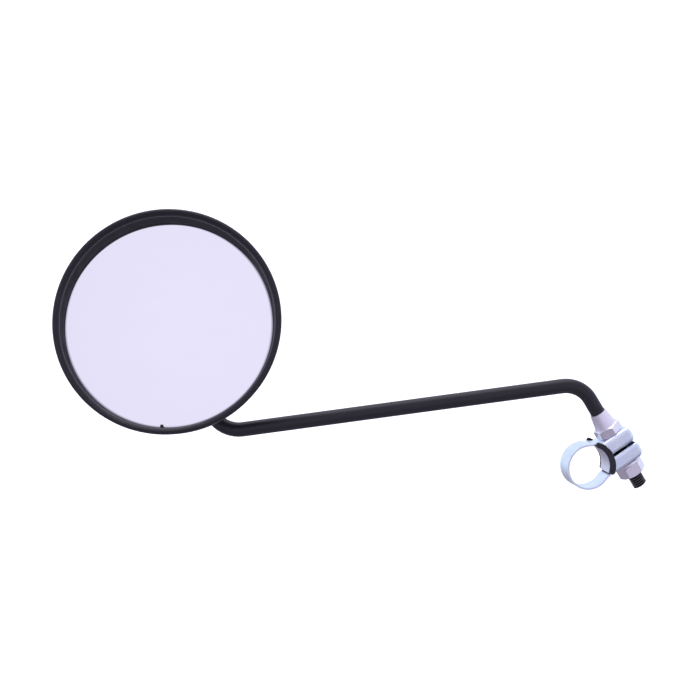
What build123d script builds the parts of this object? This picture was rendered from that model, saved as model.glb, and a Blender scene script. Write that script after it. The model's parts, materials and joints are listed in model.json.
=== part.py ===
from build123d import *
import math
import os

# Round bicycle mirror on a bent steel rod, held by a split band clamp on the handlebar.
# Row frame, millimetres: the origin is the centre of the clamp's bore at mid-width, +Y runs
# along the handlebar away from the rider's side, and +Z is up.

# ---- handlebar clamp ----------------------------------------------------------------------
bar_d = 22.2              # handlebar that the band grips
band_t = 1.0              # sheet thickness of the band
band_w = 12.0             # width of the band along the bar
leave_top_deg = 58.0      # where the band leaves the bar's circle, from the lugs' direction,
leave_low_deg = 70.0      # above and below
band_knee_r = 3.0         # bend where the band turns into the lug's web
clamp_lean = 31.5         # the lugs point this many degrees above +X
bolt_reach = 8.9          # bolt axis beyond the bar's surface
lug_slot = 1.1            # gap between the two lugs
lug_h = 8.35              # height of one lug
lug_w = 16.0              # width of a lug along the bar
lug_t = 1.1               # wall of the pressed lugs
lug_overhang = 9.0        # lug beyond the bolt axis
lug_shift = 1.8           # the slot lies this far below the bar's axis, along the bolt
lug_corner_r = 3.4        # outboard corner on the web's side
lug_foot_r = 2.8          # outboard corner at the slot
lug_bend_r = 2.0          # bend between the web and the side walls
lug_clear_r = 3.0         # the lugs' walls stop this far outside the bar
hole_clear = 0.4          # radial room of the rod in the lugs' holes
plate_t = 0.6             # bridge plate inside the gap of the band
plate_w = 12.8
plate_half_deg = 44.0
plate_turn = -6.0         # plate, pad and flanges are turned towards the lower lug
plate_slot_l = 5.0        # short slot along the plate's curve
plate_slot_w = 1.6
pad_t = 0.95              # rubber pad behind the bridge plate
pad_half_deg = 36.0
pad_turn = -8.5
pad_gap = 0.06            # small gaps that keep neighbours from overlapping
flange_t = 1.75           # the pad's end flanges
flange_depth = 2.7
flange_half_deg = 47.0
flange_turn = -3.5
flange_lip = 0.1          # flange stands back from the bore by this much

# ---- rod ----------------------------------------------------------------------------------
rod_d = 7.7
elbow_rise = 39.0         # corner above the clamp, measured along the bolt axis from its centre
elbow_r = 15.0            # bend radii on the rod's centre line
run_l = 190.0             # corner to corner
run_turn = 14.1           # the long run turns back this many degrees from -X
run_rise = -7.6
hook_r = 16.0
hook_l = 57.2             # from the second corner to the third, behind the head
hook_turn = 53.8
hook_rise = 55.7
neck_r = 11.0
neck_l = 21.4             # from the third corner to the ball's centre
thread_pitch = 1.25
thread_depth = 0.65
thread_mouth = 0.88       # groove's width at the crest and at the root, in pitches
thread_root = 0.16
thread_l = 17.5           # threaded end of the rod
tip_below = 26.2          # the rod's tip, below the clamp's centre along the bolt axis
tip_chamfer = 0.8

# ---- nuts and washer ----------------------------------------------------------------------
nut_af = 13.0
nut_h = 6.5
nut_face = 0.475          # radius of a nut's flat end face, per width across flats
nut_bore_clear = 0.1      # radial room between a nut's bore and the thread's crest
washer_od = 16.0
washer_t = 1.5
washer_clear = 0.35
cone_hex_h = 5.0          # hexagon of the coned nut
cone_l = 8.5              # its nose
cone_spin = -24.0         # how far each hexagon is turned about the bolt axis
nut_spin = -5.0
cone_base_d = 11.6
nose_wall = 0.5           # wall at the nose's tip

# ---- mirror head --------------------------------------------------------------------------
head_turn = 16.6          # the face looks this far round from -Y towards -X
head_lean = 19.3          # and this far up
rim_d = 117.6             # over the rim
rim_w = 5.1               # from the outside to where the glass shows
lip_w = 3.5               # rounded front lip
lip_h = 13.0              # lip's crest above the glass
lip_inner_h = 8.5         # where the lip's inner wall meets the gasket
rim_taper = 2.2           # the rim's side draws in by this much to the parting line
parting_h = -1.0          # parting line between rim and shell, from the glass face
rim_t = 1.0               # wall of the rim's skirt
glass_t = 3.0
glass_lap = 0.7           # glass under the gasket
gasket_tip_h = 4.3        # height of the gasket's thin edge
cushion_t = 1.5
cushion_w = 10.0
shell_t = 1.8
parting_gap = 0.15        # hairline between the rim and the shell
side_taper = 0.6          # shell's short side wall draws in by this much
shoulder_h = -8.4         # where side and dome would meet without their bend
shoulder_r = 5.0
dome_rise = 7.4           # from the shoulder to the dome's pole
ledge_t = 1.6
nib_w = 1.6               # moulding nib on the gasket's thin edge, at the bottom
nib_t = 1.2
nib_reach = 1.1           # how far it stands in over the glass
nib_turn = -2.3

# ---- ball joint ---------------------------------------------------------------------------
ball_d = 14.0
ball_back = 12.6          # ball's centre behind the glass face
swing = 12.0              # each way, in pan and in tilt
liner_t = 1.3
fit_gap = 0.08            # radial clearance of the ball joint's running fits
cup_wall = 2.5
cup_back = 5.2            # cup's rear face, behind the ball's centre
cup_front = 1.0           # cup's front face, ahead of the ball's centre
spring_gap = 1.8          # room for the wave spring
spring_t = 0.4
spring_w = 1.7
spring_waves = 3
spring_arc_deg = 350.0    # the spring is split
boss_r = 16.0             # round boss about the ball's centre
pad_plate_t = 1.6
pad_plate_r = 16.5
screw_count = 3
screw_circle = 13.2
screw_d = 2.9
screw_pilot_r = 1.45
screw_l = 7.0
screw_head_d = 5.6
screw_head_h = 1.8
boot_gap = 0.5            # rubber boot outside the boss
boot_t = 1.5
boot_half_deg = 58.0
boot_collar_l = 5.0
boot_collar_t = 1.4

# ---- worked out from the sizes above ------------------------------------------------------
bar_r = bar_d / 2
rod_r = rod_d / 2
rim_r = rim_d / 2
ball_r = ball_d / 2
bolt_u = bar_r + bolt_reach
lug_top = lug_slot / 2 + lug_h
cone_foot = lug_top - lug_shift
nut_top = -lug_top - lug_shift - washer_t
nut_bore_r = rod_r + nut_bore_clear
glass_show_r = rim_r - rim_w
glass_r = glass_show_r + glass_lap
lip_inner_r = rim_r - lip_w
part_r = rim_r - rim_taper
gasket_r = part_r - rim_t - pad_gap
liner_in = ball_r + fit_gap
liner_out = liner_in + liner_t
cup_in = liner_out + fit_gap
cup_out = cup_in + cup_wall
bore_r = cup_out + fit_gap


def direction(turn, rise):
    """Unit vector that starts along -X, turned towards +Y and raised towards +Z."""
    t = math.radians(turn)
    r = math.radians(rise)
    return Vector(-math.cos(t) * math.cos(r), math.sin(t) * math.cos(r), math.sin(r))


lean = math.radians(clamp_lean)
reach_dir = Vector(math.cos(lean), 0, math.sin(lean))
bolt_dir = Vector(-math.sin(lean), 0, math.cos(lean))
clamp_plane = Plane(origin=(0, 0, 0), x_dir=reach_dir, z_dir=(0, -1, 0))

face_dir = direction(head_turn - 90, head_lean)
elbow = reach_dir * bolt_u + bolt_dir * elbow_rise
hook = elbow + direction(run_turn, run_rise) * run_l
behind = hook + direction(hook_turn, hook_rise) * hook_l
ball_at = behind + face_dir * neck_l
glass_at = ball_at + face_dir * ball_back
tip = reach_dir * bolt_u - bolt_dir * tip_below
head_right = Vector(0, 0, 1).cross(face_dir).normalized()
head_plane = Plane(origin=glass_at, x_dir=head_right, z_dir=face_dir)


def on_bolt(shape, height, spin=0):
    """Places a shape that was made about Z on the bolt axis, at a height above the slot."""
    seat = Plane(origin=reach_dir * bolt_u + bolt_dir * height, x_dir=reach_dir, z_dir=bolt_dir)
    return seat * Rot(0, 0, spin) * shape


def spun(*edges):
    """Revolves a closed outline in the XZ plane about Z."""
    return revolve(make_face(Wire(edges)), axis=Axis.Z)


def spun_polygon(points):
    """Revolves a polygon of (radius, height) points about Z."""
    corners = [(r, 0, z) for r, z in points]
    return revolve(make_face(Polyline(*corners, close=True)), axis=Axis.Z)


def polar(radius, deg):
    return (radius * math.cos(math.radians(deg)), radius * math.sin(math.radians(deg)))


def sector(r_in, r_out, deg, width):
    """Curved plate about the bar's axis, spanning deg each side of the lugs' direction."""
    outer = CenterArc((0, 0), r_out, -deg, 2 * deg)
    inner = CenterArc((0, 0), r_in, -deg, 2 * deg)
    ends = [Line(polar(r_in, side * deg), polar(r_out, side * deg)) for side in (-1, 1)]
    return extrude(make_face(Wire([outer.edge(), inner.edge(), *[e.edge() for e in ends]])),
                   width / 2, both=True)


# ---- handlebar clamp ----------------------------------------------------------------------
def lug_block(inset, low, high, width):
    """Rounded block of one lug; an inset makes the hollow inside it."""
    start = bar_r
    end = bolt_u + lug_overhang - inset
    corner = max(lug_corner_r - inset, 0.5)
    foot = max(lug_foot_r - inset, 0.4)
    outline = Polyline((start, low), (end, low), (end, high), (start, high), close=True)
    face = make_face(outline)
    foot_at = face.vertices().sort_by(lambda p: abs(p.X - end) + abs(p.Y - low))[0]
    face = fillet(foot_at, foot)
    top_at = face.vertices().sort_by(lambda p: abs(p.X - end) + abs(p.Y - high))[0]
    face = fillet(top_at, corner)
    block = extrude(face, width / 2, both=True)
    bend = max(lug_bend_r - inset, 0.4)
    side = block.edges().filter_by(lambda e: abs(abs(e.center().Z) - width / 2) < 0.01)
    rounded = side.filter_by(lambda e: e.center().Y > low + lug_foot_r + 0.5)
    rounded = rounded.filter_by(lambda e: e.center().X > start + 0.5)
    return fillet(rounded, bend)


def make_lug(shift):
    """One lug, moved away from the slot's plane: a pressed box, open to the slot."""
    low = lug_slot / 2 + shift
    high = lug_top + shift
    outer = lug_block(0, low, high, lug_w)
    hollow = lug_block(lug_t, low - lug_foot_r, high - lug_t, lug_w - 2 * lug_t)
    keep_out = Cylinder(bar_r + lug_clear_r, lug_w * 2)
    return outer - hollow - keep_out


def make_strap(shift, leave_deg):
    """Half of the band: round the bar, then off at a tangent and into the lug's web."""
    mid_r = bar_r + band_t / 2
    web_v = lug_top + shift - band_t / 2
    leave = polar(mid_r, leave_deg)
    run = (leave[1] - web_v) * math.tan(math.radians(leave_deg))
    path_end = bolt_u + lug_overhang - lug_corner_r
    arc = CenterArc((0, 0), mid_r, leave_deg, 180 - leave_deg)
    web = FilletPolyline(leave, (leave[0] + run, web_v), (path_end, web_v), radius=band_knee_r)
    return extrude(trace(arc, band_t) + trace(web, band_t), band_w / 2, both=True)


def make_clamp_band():
    """Pressed steel band with both lugs; the lower half is made above and mirrored."""
    upper = make_strap(-lug_shift, leave_top_deg) + make_lug(-lug_shift)
    lower = make_strap(lug_shift, leave_low_deg) + make_lug(lug_shift)
    hole = Pos(bolt_u, 0, 0) * Rot(90, 0, 0) * Cylinder(rod_r + hole_clear, 4 * lug_top)
    band = upper + mirror(lower, Plane.XZ) - hole
    return clamp_plane * band


def make_bridge_plate():
    """Curved plate that bridges the gap between the lugs inside the band."""
    plate = sector(bar_r, bar_r + plate_t, plate_half_deg, plate_w)
    across = Plane(origin=(0, 0, 0), x_dir=(0, 1, 0), z_dir=(1, 0, 0))
    cutter = extrude(across * SlotOverall(plate_slot_l, plate_slot_w), 2 * bar_r)
    plate = plate - Rot(0, 0, plate_half_deg / 2) * cutter
    return clamp_plane * Rot(0, 0, plate_turn) * plate


def make_clamp_pad():
    """Rubber pad behind the bridge plate, with a rounded flange at each end."""
    web_in = bar_r + plate_t + pad_gap
    web = sector(web_in, web_in + pad_t, pad_half_deg, plate_w + 2 * pad_gap)
    flange_in = bar_r + flange_lip
    flange = sector(flange_in, flange_in + flange_depth, flange_half_deg, flange_t)
    flange = fillet(flange.edges().filter_by(Axis.Z), flange_depth * 0.45)
    away = plate_w / 2 + pad_gap + flange_t / 2
    flanges = Pos(0, 0, away) * flange + Pos(0, 0, -away) * flange
    return clamp_plane * (Rot(0, 0, pad_turn) * web + Rot(0, 0, flange_turn) * flanges)


# ---- rod ----------------------------------------------------------------------------------
def make_mirror_rod():
    """Bent round rod: threaded end, elbow, long run, hook behind the head, neck in the ball."""
    corners = [tip, elbow, hook, behind, ball_at]
    path = FilletPolyline(*corners, radius=[elbow_r, hook_r, neck_r])
    bar = sweep(Plane(origin=tip, z_dir=bolt_dir) * Circle(rod_r), path=path)
    end = Plane(origin=tip, x_dir=reach_dir, z_dir=bolt_dir)
    return bar - end * thread_cutter()


def thread_cutter():
    """What the thread's groove and the tip's chamfer take away, about Z with the tip at 0."""
    root = rod_r - thread_depth
    out = rod_r + thread_depth / 2
    half = thread_pitch * thread_mouth / 2
    deep = thread_pitch * thread_root / 2
    helix = Helix(pitch=thread_pitch, height=thread_l, radius=rod_r,
                  center=(0, 0, -thread_pitch))
    tooth = Polyline((root, -deep), (rod_r, -half), (out, -half), (out, half),
                     (rod_r, half), (root, deep), close=True)
    seat = Plane(origin=helix @ 0, x_dir=(1, 0, 0), z_dir=helix % 0)
    groove = sweep(seat * Pos(-rod_r, 0, 0) * make_face(tooth), path=helix, is_frenet=True)
    size = 2 * rod_r
    bevel = Cylinder(size, 2 * tip_chamfer) - Cone(rod_r - tip_chamfer, rod_r + tip_chamfer,
                                                  2 * tip_chamfer)
    return groove + bevel


# ---- nuts and washer ----------------------------------------------------------------------
def hexagon(height):
    """Hexagonal prism standing on Z = 0, with both ends' corners turned off at 30 degrees."""
    prism = extrude(RegularPolygon(nut_af / 2, 6, major_radius=False), height)
    corner = nut_af / math.cos(math.radians(30)) / 2
    face_r = nut_af * nut_face
    drop = (corner - face_r) * math.tan(math.radians(30))
    crown = spun_polygon([(0, 0), (face_r, 0), (corner, drop), (corner, height - drop),
                          (face_r, height), (0, height)])
    return prism & crown


def make_taper_nut():
    """Coned nut on the rod, above the clamp."""
    nose_r = nut_bore_r + nose_wall
    nose = Pos(0, 0, cone_hex_h + cone_l / 2) * Cone(cone_base_d / 2, nose_r, cone_l)
    bore = Cylinder(nut_bore_r, 6 * cone_l)
    return on_bolt(hexagon(cone_hex_h) + nose - bore, cone_foot, cone_spin)


def make_clamp_nut():
    nut = hexagon(nut_h) - Cylinder(nut_bore_r, 4 * nut_h)
    return on_bolt(nut, nut_top - nut_h, nut_spin)


def make_flat_washer():
    ring = Cylinder(washer_od / 2, washer_t) - Cylinder(rod_r + washer_clear, 4 * washer_t)
    ring = chamfer(ring.edges().group_by(SortBy.LENGTH)[-1], 0.2)
    return on_bolt(ring, nut_top + washer_t / 2)


# ---- mirror head --------------------------------------------------------------------------
def make_mirror_glass():
    disc = Pos(0, 0, -glass_t / 2) * Cylinder(glass_r, glass_t)
    return head_plane * chamfer(disc.edges().filter_by(GeomType.CIRCLE), 0.4)


def make_edge_gasket():
    """Rubber ring between the rim and the glass; its thin sloping edge shows in front."""
    top = lip_inner_h - pad_gap
    ring = spun_polygon([(glass_show_r, 0), (glass_show_r + 0.35, gasket_tip_h),
                         (lip_inner_r - 0.2, top), (gasket_r, top), (gasket_r, 0)])
    nib = Pos(0, -glass_show_r, gasket_tip_h - nib_t / 2) * Box(nib_w, 2 * nib_reach, nib_t)
    return head_plane * (ring + Rot(0, 0, nib_turn) * nib)


def make_bezel_ring():
    """Front rim: a rounded lip, a sloping side and a skirt that holds the shell's spigot."""
    crest_r = rim_r - lip_w * 0.45
    wide_h = lip_h - 1.9
    side_r = part_r - rim_t
    inside = ThreePointArc((lip_inner_r, 0, lip_inner_h), (lip_inner_r + 0.55, 0, lip_h - 1.3),
                           (crest_r, 0, lip_h))
    outside = ThreePointArc((crest_r, 0, lip_h), (rim_r - 0.45, 0, lip_h - 0.6), (rim_r, 0, wide_h))
    back = Polyline((rim_r, 0, wide_h), (part_r, 0, parting_h), (side_r, 0, parting_h),
                    (side_r, 0, lip_inner_h), (lip_inner_r, 0, lip_inner_h))
    return head_plane * spun(*inside.edges(), *outside.edges(), *back.edges())


def bowl(inset):
    """Solid under the shell's outline: its outside, or with an inset, its hollow."""
    edge = parting_h - parting_gap
    shoulder = (part_r - side_taper - inset, shoulder_h + inset)
    pole = shoulder_h - dome_rise + inset
    third = (shoulder[0] * 0.5, 0, pole + dome_rise * 0.25)
    floor = ThreePointArc((0, 0, pole), third, (shoulder[0], 0, shoulder[1]))
    side = Polyline((shoulder[0], 0, shoulder[1]), (part_r - inset, 0, edge), (0, 0, edge),
                    (0, 0, pole))
    face = make_face(Wire([*floor.edges(), *side.edges()]))
    corner = face.vertices().sort_by(lambda p: (p.X - shoulder[0]) ** 2 + (p.Z - shoulder[1]) ** 2)
    return revolve(fillet(corner[0], shoulder_r - inset), axis=Axis.Z)


def make_housing_shell():
    """Domed back with a spigot in the rim, a ledge for the glass and a boss for the joint."""
    spigot_out = part_r - rim_t - pad_gap
    spigot_in = glass_r + pad_gap
    spigot_top = -pad_gap
    spigot = spun_polygon([(spigot_in, -glass_t), (spigot_out, -glass_t),
                           (spigot_out, spigot_top), (spigot_in, spigot_top)])
    seat_h = -glass_t - cushion_t
    ledge_in = glass_r - cushion_w
    ledge_out = part_r - shell_t
    ledge = spun_polygon([(ledge_in, seat_h - 2 * ledge_t), (ledge_in, seat_h), (ledge_out, seat_h),
                          (ledge_out, seat_h - ledge_t), (ledge_in + ledge_t, seat_h - ledge_t),
                          (ledge_in + ledge_t, seat_h - 3 * ledge_t),
                          (ledge_in, seat_h - 3 * ledge_t)])
    front = -ball_back + cup_front + spring_gap
    ball = Pos(0, 0, -ball_back) * Sphere(boss_r)
    crown = spun_polygon([(0, -ball_back), (boss_r, -ball_back), (pad_plate_r, front), (0, front)])
    above = Pos(0, 0, front + 2 * boss_r) * Cylinder(4 * boss_r, 4 * boss_r)
    boss = ball - above + crown
    bore_end = -ball_back - cup_back - fit_gap
    bore = Pos(0, 0, bore_end + 2 * boss_r) * Cylinder(bore_r, 4 * boss_r)
    wall = (bowl(0) - bowl(shell_t)) + spigot + ledge + boss
    throat = Pos(0, 0, -ball_back) * swing_cone(2)
    return head_plane * (wall - bore - throat - screw_set(screw_pilot_r, 0))


def swing_cone(legs):
    """Clear room for the rod's neck when the head swings one or both of its ways."""
    total = swing * math.sqrt(legs) + math.degrees(math.asin(rod_r / liner_in)) + 3
    length = 2 * boss_r
    wide = length * math.tan(math.radians(total))
    return Pos(0, 0, -length / 2) * Cone(wide, 0, length)


def make_glass_cushion():
    outer = glass_r - 0.5
    inner = glass_r - cushion_w
    ring = spun_polygon([(inner, -glass_t), (outer, -glass_t), (outer, -glass_t - cushion_t),
                         (inner, -glass_t - cushion_t)])
    return head_plane * ring


# ---- ball joint ---------------------------------------------------------------------------
def at_ball(shape):
    """Places a shape that was made about the ball's centre, with +Z towards the glass."""
    return head_plane * Pos(0, 0, -ball_back) * shape


def make_ball_end():
    """Steel ball, bored for the rod's neck."""
    ball = Sphere(ball_r)
    bore = Pos(0, 0, -ball_r) * Cylinder(rod_r, 2 * ball_r)
    return at_ball(ball - bore)


def make_friction_liner():
    """Split nylon liner round the ball."""
    zone = Sphere(liner_out) - Sphere(liner_in) - swing_cone(1)
    front = Pos(0, 0, liner_out * 1.6) * Cylinder(2 * liner_out, 2 * liner_out)
    slit = Pos(0, liner_out, 0) * Box(0.8, 2 * liner_out, 4 * liner_out)
    return at_ball(zone - front - slit)


def make_socket_cup():
    """Steel cup that holds the liner and can turn in the boss."""
    height = cup_back + cup_front
    body = Pos(0, 0, (cup_front - cup_back) / 2) * Cylinder(cup_out, height)
    throat = Pos(0, 0, liner_out) * Cylinder(cup_in, 2 * liner_out)
    return at_ball(body - Sphere(cup_in) - throat - swing_cone(2))


def make_wave_spring():
    """Split wavy washer between the cup and the pressure plate."""
    swell = (spring_gap - spring_t) / 2 - 2 * pad_gap
    mid_r = (cup_out + cup_in) / 2
    steps = 8 * spring_waves
    turns = [math.radians(spring_arc_deg * i / steps) for i in range(steps + 1)]
    points = [(mid_r * math.cos(a), mid_r * math.sin(a), swell * math.sin(spring_waves * a))
              for a in turns]
    path = Spline(*points)
    strip = Plane(origin=path @ 0, x_dir=(1, 0, 0), z_dir=path % 0) * Rectangle(spring_w, spring_t)
    return at_ball(Pos(0, 0, cup_front + spring_gap / 2) * sweep(strip, path=path))


def screw_set(radius, grow):
    """The pressure plate's screw shanks, about Z with the plate's face where it is."""
    front = -ball_back + cup_front + spring_gap + pad_plate_t
    shank = Pos(screw_circle, 0, front - (screw_l - grow) / 2) * Cylinder(radius, screw_l + grow)
    return Compound([Rot(0, 0, 360 * i / screw_count + 90) * shank for i in range(screw_count)])


def make_pressure_plate():
    """Round steel plate that closes the joint, with a spherical seat for the liner."""
    height = cup_front + spring_gap + pad_plate_t / 2
    disc = Pos(0, 0, height) * Cylinder(pad_plate_r, pad_plate_t)
    holes = Pos(0, 0, ball_back) * screw_set(screw_d / 2 + 0.15, 2)
    return at_ball(disc - Sphere(cup_in) - holes)


def make_plate_screws():
    """Pan-headed screws, one solid each."""
    top = -ball_back + cup_front + spring_gap + pad_plate_t
    shank = Pos(0, 0, top - screw_l / 2) * Cylinder(screw_d / 2, screw_l)
    head = Pos(0, 0, top + screw_head_h / 2) * Cylinder(screw_head_d / 2, screw_head_h)
    head = fillet(head.edges().group_by(Axis.Z)[-1], screw_head_h * 0.4)
    recess = Pos(0, 0, top + screw_head_h) * Box(0.8, screw_head_d * 0.6, 1.6)
    recess += Pos(0, 0, top + screw_head_h) * Box(screw_head_d * 0.6, 0.8, 1.6)
    screw = shank + head - recess
    turns = [Rot(0, 0, 360 * i / screw_count + 90) * Pos(screw_circle, 0, 0) for i in range(screw_count)]
    return Compound([head_plane * turn * screw for turn in turns])


def make_dust_boot():
    """Rubber boot on the rod's neck; its skirt follows the boss's round back."""
    inner = boss_r + boot_gap
    outer = inner + boot_t
    length = 4 * boss_r
    wide = length * math.tan(math.radians(boot_half_deg))
    skirt = (Sphere(outer) - Sphere(inner)) & Pos(0, 0, -length / 2) * Cone(wide, 0, length)
    bend = FilletPolyline(ball_at, behind, hook, radius=neck_r).edges()[1]
    straight = (bend.position_at(0) - ball_at).length
    first = max((inner - straight) / bend.length, 0)
    last = min((outer + boot_collar_l - straight) / bend.length, 1)
    line = bend.trim(first, last)
    section = Circle(rod_r + boot_collar_t) - Circle(rod_r)
    collar = sweep(Plane(origin=line @ 0, z_dir=line % 0) * section, path=line)
    core = sweep(Plane(origin=bend @ 0, z_dir=bend % 0) * Circle(rod_r), path=bend)
    return (at_ball(skirt) - core) + (collar - at_ball(Sphere(inner + boot_t / 2)))


def main():
    os.makedirs("parts", exist_ok=True)
    parts = {
        "clamp_band": make_clamp_band(),
        "bridge_plate": make_bridge_plate(),
        "clamp_pad": make_clamp_pad(),
        "mirror_rod": make_mirror_rod(),
        "ball_end": make_ball_end(),
        "dust_boot": make_dust_boot(),
        "taper_nut": make_taper_nut(),
        "flat_washer": make_flat_washer(),
        "clamp_nut": make_clamp_nut(),
        "friction_liner": make_friction_liner(),
        "socket_cup": make_socket_cup(),
        "wave_spring": make_wave_spring(),
        "pressure_plate": make_pressure_plate(),
        "plate_screws": make_plate_screws(),
        "housing_shell": make_housing_shell(),
        "glass_cushion": make_glass_cushion(),
        "mirror_glass": make_mirror_glass(),
        "edge_gasket": make_edge_gasket(),
        "bezel_ring": make_bezel_ring(),
    }
    for name, shape in parts.items():
        export_step(shape, f"parts/{name}.step")


main()
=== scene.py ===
# %% [markdown]
# # A round mirror on a bent rod, held to a handlebar
# The real mirror is a flat glass in a moulded ring. A black steel rod carries it, and a
# plated strip clamp grips the bar. The CAD model already fixes every shape and joint, so this
# script keeps those meshes and spends its effort on finishes, small moulded details and light.
# A scene could also be modelled afresh, but then nothing would prove that the pieces still fit.

import json
import math

import bmesh
import bpy
from mathutils import Matrix, Vector


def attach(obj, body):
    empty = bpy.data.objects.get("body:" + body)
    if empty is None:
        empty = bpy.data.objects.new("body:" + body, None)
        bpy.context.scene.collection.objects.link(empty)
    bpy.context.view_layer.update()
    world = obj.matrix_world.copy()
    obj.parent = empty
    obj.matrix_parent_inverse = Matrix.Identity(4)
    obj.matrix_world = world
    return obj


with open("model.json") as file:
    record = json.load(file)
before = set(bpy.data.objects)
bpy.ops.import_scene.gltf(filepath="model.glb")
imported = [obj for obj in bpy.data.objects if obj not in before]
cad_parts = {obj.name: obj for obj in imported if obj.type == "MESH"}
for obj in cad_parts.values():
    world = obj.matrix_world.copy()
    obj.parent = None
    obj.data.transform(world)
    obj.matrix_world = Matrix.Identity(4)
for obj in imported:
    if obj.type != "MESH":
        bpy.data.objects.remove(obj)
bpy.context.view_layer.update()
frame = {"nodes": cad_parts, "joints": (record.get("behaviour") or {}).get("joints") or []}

# %% [markdown]
# ## Where things are
# The joints say where the bar's bolt line and the swivel ball are, and which way the glass
# faces. Reading them from the model keeps each finish centred on its own part, even after a
# size in the CAD changes. Typing coordinates would be quicker once and wrong the next time.

# %% Read the joints
joints = {joint["name"]: joint for joint in frame["joints"]}
BOLT_AT = Vector(joints["arm_swivel"]["pos_m"])
BOLT_UP = Vector(joints["arm_swivel"]["axis"]).normalized()
BALL_AT = Vector(joints["head_spin"]["pos_m"])
GLASS_OUT = Vector(joints["head_spin"]["axis"]).normalized()
MM = 0.001
print("ball centre", tuple(round(v, 4) for v in BALL_AT))

# %% [markdown]
# ## Shader sums written as Python
# A finish is mostly arithmetic on patterns. Blender builds that from nodes, and wiring them by
# hand hides the idea. This class wraps one output of a node, so that 1 - mask or mask * 0.2
# adds the Math node by itself. Every other node comes from the one method named node.


# %% A wire between shader nodes
class Wire:
    """One output of a shader node. Python's arithmetic on it adds Math nodes."""

    def __init__(self, socket):
        self.socket = socket

    def node(self, kind, settings, sockets, output=0):
        """Adds a node: its settings first, then the values or wires of its sockets."""
        tree = self.socket.id_data
        made = tree.nodes.new(kind)
        for name, value in settings.items():
            if name == "stops":
                set_stops(made.color_ramp, value)
            else:
                setattr(made, name, value)
        for name, value in sockets.items():
            if isinstance(value, Wire):
                tree.links.new(value.socket, made.inputs[name])
            else:
                made.inputs[name].default_value = value
        return Wire(made.outputs[output])

    def math(self, operation, *terms):
        return self.node("ShaderNodeMath", {"operation": operation}, dict(enumerate(terms)))

    def vector(self, operation, *terms, output=0):
        sockets = dict(enumerate(terms))
        return self.node("ShaderNodeVectorMath", {"operation": operation}, sockets, output)

    def __add__(self, other):
        return self.math("ADD", self, other)

    def __radd__(self, other):
        return self.math("ADD", other, self)

    def __sub__(self, other):
        return self.math("SUBTRACT", self, other)

    def __rsub__(self, other):
        return self.math("SUBTRACT", other, self)

    def __mul__(self, other):
        return self.math("MULTIPLY", self, other)

    def __rmul__(self, other):
        return self.math("MULTIPLY", other, self)

    def __truediv__(self, other):
        return self.math("DIVIDE", self, other)


def set_stops(ramp, stops):
    """Gives a colour ramp its stops, each a position and a grey level."""
    while len(ramp.elements) < len(stops):
        ramp.elements.new(1.0)
    for element, (position, level) in zip(ramp.elements, stops):
        element.position = position
        element.color = (level, level, level, 1)


# %% [markdown]
# ## Patterns
# Real finishes vary at more than one size: a fine grain that the finger feels, and broad
# clouds that only the light finds. Noise gives both from the point in space, so no unwrapping
# is needed and the pattern never stretches. The size of a pattern is given in metres.

# %% Noise, steps and blends
def grain(place, size, detail=3.0):
    """Noise from 0 to 1 whose spots are about size across."""
    return place.node("ShaderNodeTexNoise", {}, {"Vector": place, "Scale": 1 / size,
                                                 "Detail": detail})


def ramp(mask, *stops):
    """Reshapes a mask through grey stops."""
    return mask.node("ShaderNodeValToRGB", {"stops": stops}, {"Fac": mask})


def rgba(colour):
    return colour if isinstance(colour, Wire) else (*colour, 1)


def tint(mask, low, high):
    """A colour that goes from low to high as the mask goes from 0 to 1."""
    sockets = {0: mask, 6: rgba(low), 7: rgba(high)}
    return mask.node("ShaderNodeMix", {"data_type": "RGBA"}, sockets, 2)


def bump(height, depth):
    """A Normal input that raises the surface by depth metres where height is 1."""
    return height.node("ShaderNodeBump", {}, {"Height": height, "Distance": depth})


# %% [markdown]
# ## Distances from an axis
# Turned and threaded parts carry marks that run round an axis. Two distances describe every
# such mark: how far along the axis a point lies, and how far out from it. A texture wrapped on
# a cylinder would do for one part, while these work for nuts, washer, ball and boot alike.

# %% Along and out from an axis
def along(place, point, axis):
    """Distance of each surface point along an axis through point."""
    arm = place.vector("SUBTRACT", place, tuple(point))
    return place.vector("DOT_PRODUCT", arm, tuple(axis), output="Value")


def out_from(place, point, axis):
    """Distance of each surface point from an axis through point."""
    arm = place.vector("SUBTRACT", place, tuple(point))
    cross = place.vector("CROSS_PRODUCT", arm, tuple(axis))
    return place.vector("LENGTH", cross, output="Value")


def turned_lines(place, point, axis, width):
    """Fine rings as a lathe tool leaves them, about width apart."""
    sockets = {"X": out_from(place, point, axis), "Y": along(place, point, axis)}
    spun = place.node("ShaderNodeCombineXYZ", {}, sockets)
    return grain(spun, width, 2.0)


# %% [markdown]
# ## Starting a finish
# Each finish is one Principled surface. What stays the same all over is typed on the surface's
# own socket, and only what changes from spot to spot is wired in, which also keeps it possible
# to bake the finish later.

# %% Make and dress a finish
def new_finish(name):
    """A new material, and the wire that carries the place of each surface point."""
    material = bpy.data.materials.new(name)
    material.use_nodes = True
    coordinates = material.node_tree.nodes.new("ShaderNodeTexCoord")
    return material, Wire(coordinates.outputs["Object"])


def dress(material, sockets):
    """Sets the Principled surface's sockets to values or wires."""
    tree = material.node_tree
    surface = tree.nodes["Principled BSDF"]
    for name, value in sockets.items():
        if isinstance(value, Wire):
            tree.links.new(value.socket, surface.inputs[name])
        else:
            surface.inputs[name].default_value = value
    print(material.name, "has", len(tree.nodes), "nodes")
    return material


# %% [markdown]
# ## Plated steel
# The strip clamp is pressed from zinc-plated strip with a clear blue passivation. It looks
# almost white, a little bluer where the coat is thicker, with faint rolling lines along the
# strip. Metal is made by full Metallic and a pale base; the clouds shift its hue, and the
# rolling lines go in as a very shallow bump, because painted-on lines would not glint.

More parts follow.
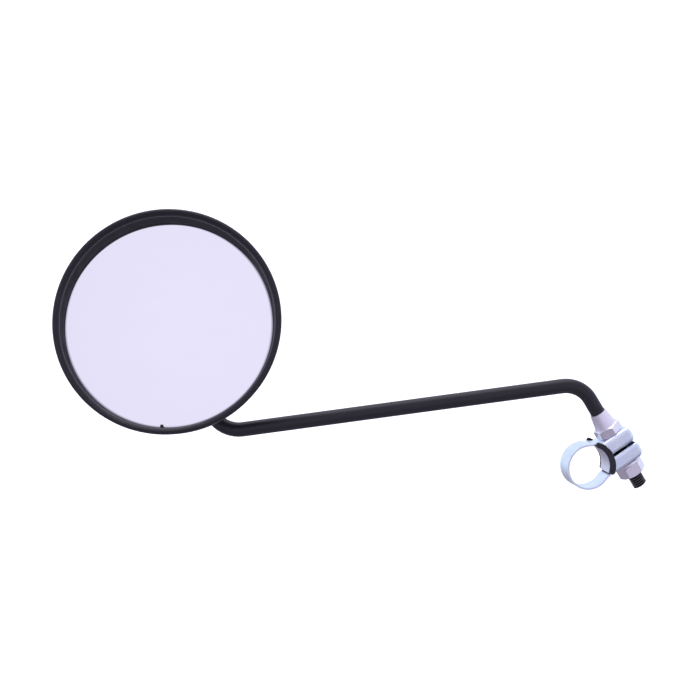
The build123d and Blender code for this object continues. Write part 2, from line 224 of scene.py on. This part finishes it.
# %% Blue and bright zinc
def strip_lines(place, width):
    """Rolling lines that follow a strip bent round the bar, which lies along Y."""
    squeezed = place.vector("MULTIPLY", place, (0.06, 1.0, 0.06))
    return grain(squeezed, width, 2.0)


def zinc(name, pale, deep, rough):
    material, place = new_finish(name)
    clouds = ramp(grain(place, 6 * MM), (0.35, 0.0), (0.65, 1.0))
    lines = strip_lines(place, 0.35 * MM)
    wear = ramp(grain(place, 1.2 * MM), (0.60, 0.0), (0.72, 1.0))
    return dress(material, {
        "Base Color": tint(wear * 0.35, tint(clouds, pale, deep), (0.62, 0.62, 0.66)),
        "Metallic": 1.0,
        "Roughness": rough + 0.10 * lines + 0.08 * wear,
        "Normal": bump(lines + 0.5 * grain(place, 0.5 * MM), 0.012 * MM)})


blue_zinc = zinc("blue_zinc", (0.88, 0.95, 1.00), (0.76, 0.85, 1.00), 0.24)
bright_zinc = zinc("bright_zinc", (0.76, 0.72, 0.82), (0.66, 0.63, 0.75), 0.32)

# %% [markdown]
# ## Turned and plated fasteners
# Nuts, the cone and the washer are cut or pressed, then barrel plated. The cutting leaves rings
# round the bolt line, and tumbling softens and speckles them. The same rings, coarser and
# darker, suit the greased steel ball.


# %% Nickel and turned steel
def fastener(name, pale, deep, rough, point, axis, ring):
    material, place = new_finish(name)
    rings = turned_lines(place, point, axis, ring)
    specks = ramp(grain(place, 0.8 * MM), (0.48, 0.0), (0.70, 1.0))
    return dress(material, {
        "Base Color": tint(specks, pale, deep),
        "Metallic": 1.0,
        "Roughness": rough + 0.12 * rings + 0.06 * specks,
        "Normal": bump(rings + 0.4 * specks, 0.010 * MM)})


bright_nickel = fastener("bright_nickel", (0.92, 0.88, 0.97), (0.82, 0.78, 0.90), 0.30,
                         BOLT_AT, BOLT_UP, 0.20 * MM)
turned_steel = fastener("turned_steel", (0.58, 0.58, 0.60), (0.42, 0.41, 0.40), 0.28,
                        BALL_AT, GLASS_OUT, 0.30 * MM)
spring_steel = fastener("spring_steel", (0.24, 0.25, 0.32), (0.14, 0.14, 0.18), 0.32,
                        BALL_AT, GLASS_OUT, 0.25 * MM)

# %% [markdown]
# ## Powder coat, with a bare thread
# The rod is powder coated, which leaves a soft orange peel: low bumps about a millimetre and a
# half across under a satin skin. The coat is masked off the threaded end, which is blackened
# steel with a film of oil, its crests painted lighter as a painted highlight. One material does
# both, split by the distance below the bolt point, because the rod is one piece of steel.

# %% Black coat
THREAD_BELOW = 5.0 * MM
THREAD_REACH = 6.0 * MM
HIGHLIT_CREST_R = 4.0 * MM


def coated_rod():
    material, place = new_finish("black_coat")
    height = along(place, BOLT_AT, BOLT_UP)
    near = out_from(place, BOLT_AT, BOLT_UP)
    thread = height.math("LESS_THAN", height, -THREAD_BELOW)
    thread = thread * near.math("LESS_THAN", near, THREAD_REACH)
    peel = grain(place, 1.4 * MM, 1.0)
    clouds = grain(place, 14 * MM)
    dust = ramp(grain(place, 0.5 * MM), (0.62, 0.0), (0.74, 1.0))
    coat = tint(clouds, (0.0060, 0.0052, 0.0095), (0.0095, 0.0085, 0.0140))
    coat = tint(dust * 0.25, coat, (0.040, 0.038, 0.048))
    # Painted highlight: the thread's crests, furthest from the bolt line, are painted lighter.
    crest_highlight = ramp(near * (1 / HIGHLIT_CREST_R), (0.86, 0.0), (0.96, 1.0))
    steel = tint(crest_highlight, (0.006, 0.006, 0.008), (0.120, 0.120, 0.130))
    return dress(material, {
        "Base Color": tint(thread, coat, steel),
        "Specular IOR Level": 0.38,
        "Metallic": 0.6 * thread,
        "Roughness": (1 - thread) * (0.36 + 0.10 * clouds) + thread * 0.34,
        "Normal": bump((1 - thread) * peel + 0.3 * grain(place, 0.3 * MM), 0.035 * MM)})


black_coat = coated_rod()

# %% [markdown]
# ## Moulded plastic
# The ring and the shell are satin black plastic from a spark-eroded mould, so their skin is an
# even fine grain. Rubbing polishes the high spots. Small cells make a better mould grain than
# soft noise, since the spark leaves rounded craters; a Voronoi texture gives those.


# %% Black shell plastic
def moulded(name, base, worn, rough, gloss, crater, depth):
    material, place = new_finish(name)
    craters = place.node("ShaderNodeTexVoronoi", {}, {"Vector": place, "Scale": 1 / crater})
    clouds = grain(place, 18 * MM)
    rubbed = ramp(grain(place, 3 * MM), (0.52, 0.0), (0.75, 1.0))
    return dress(material, {
        "Base Color": tint(rubbed, base, worn),
        "Specular IOR Level": gloss,
        "Roughness": rough + 0.10 * clouds - 0.07 * rubbed,
        "Normal": bump(craters, depth)})


black_shell = moulded("black_shell", (0.0105, 0.0098, 0.0145), (0.0150, 0.0140, 0.0200), 0.34,
                      0.26, 0.45 * MM, 0.020 * MM)
white_nylon = moulded("white_nylon", (0.80, 0.79, 0.74), (0.86, 0.85, 0.81), 0.42,
                      0.50, 0.60 * MM, 0.010 * MM)

# %% [markdown]
# ## Rubber and foam
# Rubber is matt and collects a grey bloom of dust in patches. Foam is paler and full of small
# closed cells. Both are rough, so their character is in the slow change of colour and in a
# bump that breaks up the light at a grazing angle.


# %% Rubber and foam
def soft_black(name, base, bloom, cell, depth):
    material, place = new_finish(name)
    patches = ramp(grain(place, 9 * MM), (0.40, 0.0), (0.72, 1.0))
    cells = place.node("ShaderNodeTexVoronoi", {}, {"Vector": place, "Scale": 1 / cell})
    return dress(material, {
        "Base Color": tint(patches, base, bloom),
        "Specular IOR Level": 0.35,
        "Roughness": 0.62 + 0.20 * patches,
        "Normal": bump(cells + 0.4 * grain(place, 0.4 * MM), depth)})


black_rubber = soft_black("black_rubber", (0.010, 0.0092, 0.0145), (0.017, 0.016, 0.023),
                          0.5 * MM, 0.015 * MM)
grey_foam = soft_black("grey_foam", (0.20, 0.20, 0.21), (0.28, 0.28, 0.29),
                       0.8 * MM, 0.120 * MM)

# %% [markdown]
# ## The mirror
# A mirror is a sheet of glass silvered on its back. Seen from the front it is one bright
# reflection with a faint tint, so a smooth metallic surface gives it in one step; tracing
# through real glass to a second silver layer would only add noise. Wiping leaves long faint
# smears that blur the reflection a little. A narrow grey border is painted round the cut edge,
# a painted reflection of the dark rim in the glass; its radius is measured on the glass itself.


# %% Silvered glass
# Width of the grey border painted round the glass edge, a painted reflection of the dark rim.
RIM_REFLECTION_WIDTH = 1.8 * MM


def far_from_axis(corner):
    """How far a corner of the head lies from the line that the head turns about."""
    arm = corner - BALL_AT
    return (arm - GLASS_OUT * arm.dot(GLASS_OUT)).length


GLASS_R = max(far_from_axis(v.co) for v in frame["nodes"]["mirror_glass"].data.vertices)
print("glass radius in mm:", round(GLASS_R / MM, 2))


def silvered_glass():
    material, place = new_finish("mirror_glass")
    smears = grain(place.vector("MULTIPLY", place, (0.25, 0.25, 1.0)), 10 * MM)
    wiped = ramp(smears, (0.45, 0.0), (0.75, 1.0))
    radius = out_from(place, BALL_AT, GLASS_OUT) / GLASS_R
    # Painted reflection: the glass turns grey towards its edge, standing for the dark rim reflected there.
    edge = ramp(radius, (1 - RIM_REFLECTION_WIDTH / GLASS_R, 0.0), (0.984, 1.0))
    silver = tint(wiped, (0.960, 0.962, 0.970), (0.950, 0.952, 0.965))
    return dress(material, {
        "Base Color": tint(edge, silver, (0.36, 0.36, 0.39)),
        "Metallic": 1.0,
        "Roughness": 0.012 + 0.014 * wiped})


mirror_glass = silvered_glass()

# %% [markdown]
# ## Put the finishes on
# The CAD meshes keep their shape; only the material in their slot changes. A table from finish
# to parts reads like a parts list, and a missing part shows up at once in the count.

# %% Finish every CAD part
FINISHES = {
    blue_zinc: ["clamp_band", "plate_screws"],
    bright_zinc: ["bridge_plate", "pressure_plate"],
    bright_nickel: ["taper_nut", "flat_washer", "clamp_nut"],
    turned_steel: ["ball_end"],
    spring_steel: ["wave_spring"],
    black_coat: ["mirror_rod"],
    black_shell: ["housing_shell", "bezel_ring", "socket_cup"],
    black_rubber: ["clamp_pad", "dust_boot", "edge_gasket"],
    grey_foam: ["glass_cushion"],
    white_nylon: ["friction_liner"],
    mirror_glass: ["mirror_glass"],
}
finished = set()
for material, names in FINISHES.items():
    for name in names:
        slots = frame["nodes"][name].data.materials
        slots.clear()
        slots.append(material)
        finished.add(name)
print(len(finished), "finished;", sorted(set(frame["nodes"]) - finished), "left")

# %% [markdown]
# ## Ribs on the dust boot
# The rubber boot behind the head is moulded with a few raised hoops, which stop it from
# puckering when the head swings. Each hoop is a small ring laid on the round skirt. A bump
# could fake them, but the outline seen from the side would stay smooth.


# %% Lay the hoops
def ring_mesh(name, centre, axis, radius, thick, steps=96, sides=14):
    """A round ring about an axis, as one closed mesh."""
    turn = axis.to_track_quat("Z", "Y").to_matrix()
    mesh = bmesh.new()
    rows = []
    for i in range(steps):
        around = 2 * math.pi * i / steps
        row = []
        for j in range(sides):
            tube = 2 * math.pi * j / sides
            reach = radius + thick * math.cos(tube)
            spot = Vector((reach * math.cos(around), reach * math.sin(around),
                           thick * math.sin(tube)))
            row.append(mesh.verts.new(centre + turn @ spot))
        rows.append(row)
    for i in range(steps):
        for j in range(sides):
            after = (i + 1) % steps
            over = (j + 1) % sides
            mesh.faces.new((rows[i][j], rows[after][j], rows[after][over], rows[i][over]))
    data = bpy.data.meshes.new(name)
    mesh.to_mesh(data)
    mesh.free()
    data.shade_smooth()
    ring = bpy.data.objects.new(name, data)
    bpy.context.scene.collection.objects.link(ring)
    return ring


HOOP_LEANS = (30, 39, 48)
HOOP_THICK = 0.7 * MM
boot_corners = [v.co for v in frame["nodes"]["dust_boot"].data.vertices]
skirt_r = max((corner - BALL_AT).length for corner in boot_corners
              if (corner - BALL_AT).normalized().dot(-GLASS_OUT) < 0.75)
print("skirt radius in mm:", round(skirt_r / MM, 2))

for count, lean in enumerate(HOOP_LEANS):
    angle = math.radians(lean)
    hoop = ring_mesh(f"boot_hoop_{count + 1}", BALL_AT - GLASS_OUT * skirt_r * math.cos(angle),
                     GLASS_OUT, skirt_r * math.sin(angle), HOOP_THICK)
    hoop.data.materials.append(black_rubber)
    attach(hoop, "arm")

# %% [markdown]
# ## Bead where the lip meets the gasket
# A soft bead of the moulding covers the joint between the ring's lip and the rubber. It is
# what draws the thin line of light inside the ring. One smooth ring, laid on the lip's inner
# edge, catches that light better than the sharp edge of a CAD cut.


# %% Lay the bead
BEAD_THICK = 0.45 * MM
BEAD_LIFT = 0.10 * MM
BEAD_OUT = 0.15 * MM
JOINT_BAND = 0.5 * MM


def height_of(corner):
    """How far a corner of the head stands out along the way the glass faces."""
    return (corner - BALL_AT).dot(GLASS_OUT)


gasket_top = max(height_of(v.co) for v in frame["nodes"]["edge_gasket"].data.vertices)
joint_r = min(far_from_axis(v.co) for v in frame["nodes"]["bezel_ring"].data.vertices
              if abs(height_of(v.co) - gasket_top) < JOINT_BAND)
bead = ring_mesh("lip_bead", BALL_AT + GLASS_OUT * (gasket_top + BEAD_LIFT), GLASS_OUT,
                 joint_r + BEAD_OUT, BEAD_THICK, steps=240)
bead.data.materials.append(black_shell)
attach(bead, "head")
print("bead radius in mm:", round(joint_r / MM, 2))

# %% [markdown]
# ## Floor
# A product stands out best on one sheet of pale paper that rises all round, with no corner.
# The profile of that sheet is spun once round the object. It glows a little, as paper does
# when a lamp stands behind it, so it stays even behind the dark rod. Shiny parts don't see it:
# its bright sheet would wash out the underside of the plating, so they reflect the room alone.

# %% Pale paper all round
FLOOR_AT = -0.38
FLAT_RINGS = (1.5, 3.0)
PAPER_R = 6.0
SWEEP_R = 1.4
SWEEP_STEPS = 12


def paper_profile():
    """Radius and height of the sheet, from the middle out."""
    points = [(radius, FLOOR_AT) for radius in (0.0, *FLAT_RINGS)]
    for i in range(SWEEP_STEPS + 1):
        angle = math.radians(90 * i / SWEEP_STEPS)
        points.append((PAPER_R - SWEEP_R + SWEEP_R * math.sin(angle),
                       FLOOR_AT + SWEEP_R * (1 - math.cos(angle))))
    return points


def spin_profile(name, points, steps=96):
    mesh = bmesh.new()
    centre = mesh.verts.new((0, 0, points[0][1]))
    rows = []
    for radius, height in points[1:]:
        row = [mesh.verts.new((radius * math.cos(2 * math.pi * i / steps),
                               radius * math.sin(2 * math.pi * i / steps), height))
               for i in range(steps)]
        rows.append(row)
    for i in range(steps):
        mesh.faces.new((centre, rows[0][i], rows[0][(i + 1) % steps]))
    for inner, outer in zip(rows, rows[1:]):
        for i in range(steps):
            after = (i + 1) % steps
            mesh.faces.new((inner[i], outer[i], outer[after], inner[after]))
    data = bpy.data.meshes.new(name)
    mesh.to_mesh(data)
    mesh.free()
    data.shade_smooth()
    sheet = bpy.data.objects.new(name, data)
    bpy.context.scene.collection.objects.link(sheet)
    return sheet


paper, paper_place = new_finish("pale_paper")
fibre = grain(paper_place, 0.02)
dress(paper, {"Base Color": tint(fibre, (0.90, 0.90, 0.90), (0.92, 0.92, 0.92)),
              "Roughness": 0.9, "Specular IOR Level": 0.0,
              "Emission Color": (1, 1, 1, 1), "Emission Strength": 0.55})
floor = spin_profile("floor", paper_profile())
floor.data.materials.append(paper)
floor.visible_glossy = False
print("floor top at", FLOOR_AT, "m")

# %% [markdown]
# ## Light
# Soft light from everywhere shows black and bright parts together without hard glare. The
# walls go from pale blue to lavender towards the side that the glass faces, and darken below.
# A flat mirror shows only one small patch of them, so a brighter glow is set there. It fades
# out about five degrees from its middle, so the glass shades softly across it. From another
# side the glass shows plain wall. One wide soft lamp overhead puts the long highlight on the top of the rod.

# %% Surroundings and a soft lamp
PANEL_WAY = Vector((-0.322, -0.804, 0.50)).normalized()
GLOW_FROM = 0.9961
world = bpy.data.worlds.new("studio")
world.use_nodes = True
tree = world.node_tree
way = Wire(tree.nodes.new("ShaderNodeTexCoord").outputs["Generated"])
facing = way.vector("DOT_PRODUCT", way, tuple(PANEL_WAY), output="Value")
rise = way.vector("DOT_PRODUCT", way, (0, 0, 1), output="Value")
room = ramp(facing * 0.5 + 0.5, (0.0, 0.0), (0.45, 0.35), (0.80, 1.0))
glow = ramp(facing, (GLOW_FROM, 0.0), (1.0, 1.0))
walls = tint(room, (0.84, 0.93, 1.08), (0.735, 0.705, 0.88))
walls = tint(ramp(rise + 0.5, (0.0, 1.0), (0.42, 0.0)), walls, (0.32, 0.30, 0.37))
sky = tint(glow, walls, (0.845, 0.81, 1.0))
tree.links.new(sky.socket, tree.nodes["Background"].inputs["Color"])
bpy.context.scene.world = world


def soft_lamp(name, place, aim, size, power, colour):
    lamp = bpy.data.lights.new(name, "AREA")
    lamp.shape = "DISK"
    lamp.size = size
    lamp.energy = power
    lamp.color = colour
    holder = bpy.data.objects.new(name, lamp)
    holder.location = place
    holder.rotation_euler = (Vector(aim) - Vector(place)).to_track_quat("-Z", "Y").to_euler()
    bpy.context.scene.collection.objects.link(holder)


soft_lamp("overhead", (-0.10, 0.25, 1.5), (-0.10, 0.0, 0.05), 1.5, 9.0, (0.96, 0.95, 1.0))

# %% [markdown]
# ## Camera
# The camera looks slightly down on the mirror from a little to the left, through a long lens
# so that the ring stays round. Azimuth and elevation turn into a direction first, and the
# camera then backs off along it from the point it looks at.

# %% Place the camera
AZIMUTH = math.radians(-15.3)
ELEVATION = math.radians(9.0)
LENS = 136.8
DISTANCE = 1.4
SENSOR = 36
AIM_RIGHT = -0.1240
AIM_UP = 0.06063

back = Vector((math.sin(AZIMUTH) * math.cos(ELEVATION),
               -math.cos(AZIMUTH) * math.cos(ELEVATION), math.sin(ELEVATION)))
right = Vector((math.cos(AZIMUTH), math.sin(AZIMUTH), 0))
up = back.cross(right)
aim = right * AIM_RIGHT + up * AIM_UP

camera_data = bpy.data.cameras.new("camera")
camera_data.lens = LENS
camera_data.sensor_width = SENSOR
camera = bpy.data.objects.new("camera", camera_data)
camera.matrix_world = Matrix.Translation(aim + back * DISTANCE) @ Matrix(
    (right, up, back)).transposed().to_4x4()
bpy.context.scene.collection.objects.link(camera)
bpy.context.scene.camera = camera
bpy.context.scene.view_settings.view_transform = "Standard"
print("camera at", tuple(round(v, 4) for v in camera.location))
